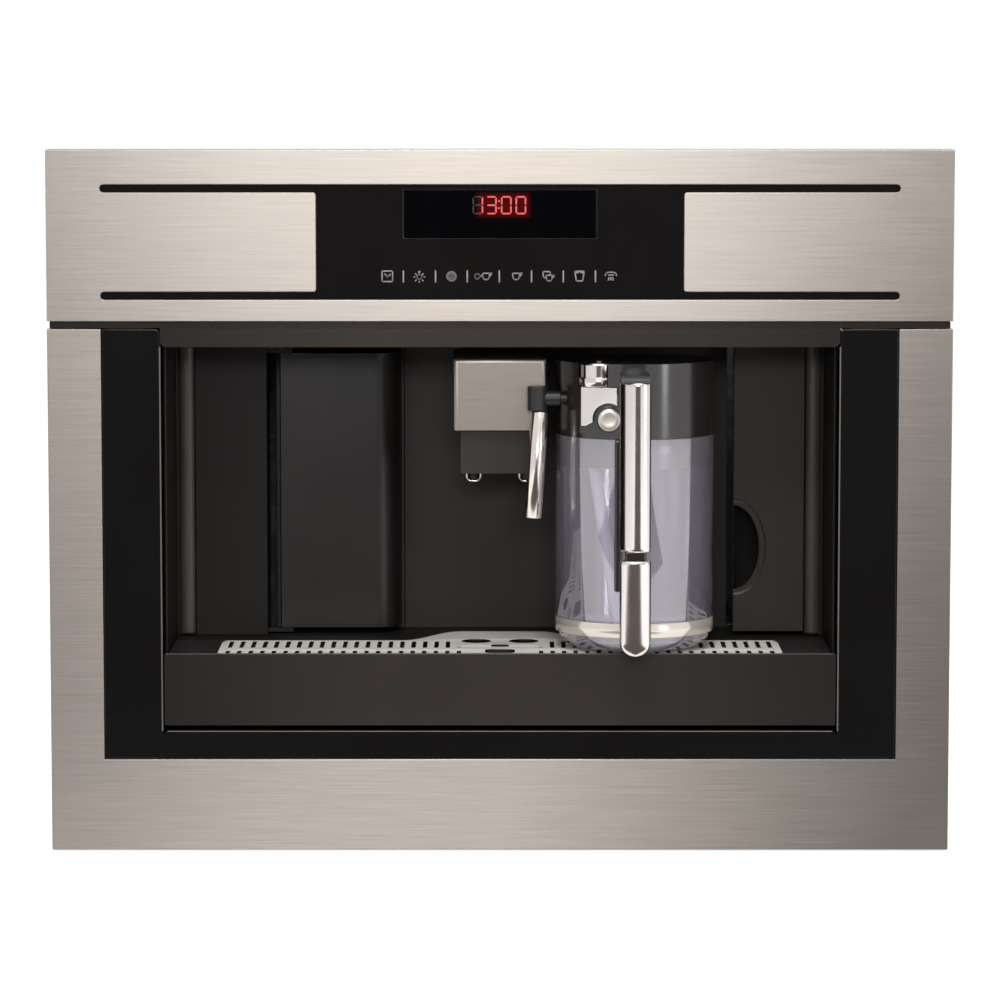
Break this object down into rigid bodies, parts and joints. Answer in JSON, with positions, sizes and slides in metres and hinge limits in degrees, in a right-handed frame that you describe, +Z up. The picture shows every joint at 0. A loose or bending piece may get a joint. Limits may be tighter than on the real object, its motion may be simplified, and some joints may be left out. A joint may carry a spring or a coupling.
{
  "type": "built in coffee machine",
  "caption": "Built in bean-to-cup coffee machine with steel front, open cup space, drip tray, milk jug and pull-out water tank, on runners",
  "frame": {"origin": "on the cabinet floor plane, under the middle of the whole object's box", "axes": "+X to the right seen from the front, +Y from the front to the back, +Z up"},
  "size_m": [0.595, 0.4484, 0.465],
  "materials": {
    "zinc": "zinc coated sheet steel, dull",
    "steel": "stainless steel, brushed across",
    "chrome": "polished stainless tube",
    "chrome_plastic": "plastic with bright chrome plating",
    "black_glass": "black backed glass, polished",
    "smoked_plastic": "smoked clear plastic",
    "board": "green circuit board",
    "gloss_black": "black plastic, high gloss",
    "graphite": "plastic with graphite metallic paint",
    "dark_plastic": "dark warm grey plastic, fine texture",
    "grey_plastic": "grey plastic",
    "black_plastic": "black plastic, satin",
    "white_plastic": "white plastic",
    "cream_plastic": "cream plastic",
    "red_plastic": "red plastic",
    "jug_plastic": "clear plastic with a cool tint",
    "tank_plastic": "clear grey plastic",
    "boiler_aluminium": "cast aluminium"
  },
  "bodies": {
    "cabinet": {"cabinet_base": "zinc"},
    "middle_runners": {"runner_middle_left": "zinc", "runner_middle_right": "zinc"},
    "machine": {"base_pan": "zinc", "side_wall_left": "zinc", "side_wall_right": "zinc", "rear_cover": "zinc", "top_cover": "zinc", "front_frame": "steel", "control_fascia": "steel", "control_glass": "black_glass", "display_window": "black_glass", "control_board": "board", "pillar_left": "gloss_black", "pillar_right": "gloss_black", "lintel_bar": "graphite", "lower_strip": "gloss_black", "cavity_wall_left": "dark_plastic", "cavity_wall_right": "dark_plastic", "cavity_ceiling": "dark_plastic", "cavity_back": "dark_plastic", "tray_cradle": "grey_plastic", "left_panel": "dark_plastic", "steam_nozzle": "chrome", "brew_housing": "black_plastic", "grounds_container": "black_plastic", "brew_unit": "grey_plastic", "tank_bay": "black_plastic", "bean_hopper": "black_plastic", "grinder": "grey_plastic", "boiler": "boiler_aluminium", "pump": "white_plastic", "main_board": "board", "power_inlet": "black_plastic"},
    "drip_tray": {"tray_front": "graphite", "tray_basin": "black_plastic", "cup_grid": "steel"},
    "float": {"level_float": "red_plastic"},
    "coffee_spout": {"spout_body": "dark_plastic", "spout_cover": "steel", "nozzle_left": "chrome_plastic", "nozzle_right": "chrome_plastic"},
    "milk_jug": {"jug_container": "jug_plastic", "jug_base_ring": "cream_plastic", "jug_lid": "black_plastic", "intake_tube": "white_plastic", "handle_upper": "chrome_plastic", "handle_lower": "chrome_plastic", "froth_trim": "chrome_plastic"},
    "knob": {"froth_knob": "chrome_plastic"},
    "button": {"clean_button": "chrome_plastic"},
    "milk_spout": {"milk_arm": "black_plastic", "milk_tube": "chrome"},
    "door": {"service_door": "dark_plastic"},
    "tank": {"water_tank": "tank_plastic", "tank_front": "dark_plastic"},
    "lid": {"hopper_lid": "smoked_plastic"},
    "dial": {"grind_knob": "black_plastic"},
    "chamber": {"brew_chamber": "black_plastic"},
    "rocker": {"main_switch": "red_plastic"}
  },
  "joints": [
    {"name": "machine_slide", "type": "slide", "parent": "cabinet", "child": "machine", "axis": [0, -1, 0], "range_m": [0, 0.3]},
    {"name": "runner_slide", "type": "slide", "parent": "cabinet", "child": "middle_runners", "axis": [0, -1, 0], "range_m": [0, 0.15]},
    {"name": "tray_slide", "type": "slide", "parent": "machine", "child": "drip_tray", "axis": [0, -1, 0], "range_m": [0, 0.16]},
    {"name": "float_rise", "type": "slide", "parent": "drip_tray", "child": "float", "axis": [0, 0, 1], "range_m": [0, 0.006]},
    {"name": "spout_height", "type": "slide", "parent": "machine", "child": "coffee_spout", "axis": [0, 0, 1], "range_m": [-0.035, 0]},
    {"name": "jug_slide", "type": "slide", "parent": "machine", "child": "milk_jug", "axis": [0, -1, 0], "range_m": [0, 0.12]},
    {"name": "milk_spout_tilt", "type": "hinge", "parent": "milk_jug", "child": "milk_spout", "pos_m": [0.03, -0.1583, 0.3004], "axis": [-1, 0, 0], "range_deg": [0, 60]},
    {"name": "froth_turn", "type": "hinge", "parent": "milk_jug", "child": "knob", "pos_m": [0.065, -0.1723, 0.315], "axis": [0, 0, 1], "range_deg": [0, 90]},
    {"name": "clean_press", "type": "slide", "parent": "milk_jug", "child": "button", "axis": [0, 1, 0], "range_m": [0, 0.0025], "stiffness_N_per_m": 400, "springref_m": -0.002},
    {"name": "door_swing", "type": "hinge", "parent": "machine", "child": "door", "pos_m": [-0.147, -0.0588, 0.2], "axis": [0, 0, -1], "range_deg": [0, 100]},
    {"name": "tank_slide", "type": "slide", "parent": "machine", "child": "tank", "axis": [0, -1, 0], "range_m": [0, 0.2]},
    {"name": "lid_swing", "type": "hinge", "parent": "machine", "child": "lid", "pos_m": [-0.11, 0.1307, 0.4446], "axis": [-1, 0, 0], "range_deg": [0, 100]},
    {"name": "dial_turn", "type": "hinge", "parent": "machine", "child": "dial", "pos_m": [-0.008, 0.0617, 0.442], "axis": [0, 0, 1], "range_deg": [0, 300]},
    {"name": "chamber_lift", "type": "slide", "parent": "machine", "child": "chamber", "axis": [0, 0, 1], "range_m": [0, 0.028]},
    {"name": "switch_rock", "type": "hinge", "parent": "machine", "child": "rocker", "pos_m": [-0.182, 0.2182, 0.061], "axis": [1, 0, 0], "range_deg": [-16, 0]}
  ],
  "couplings": [
    {"joint": "runner_slide", "follows": "machine_slide", "ratio": 0.5}
  ]
}
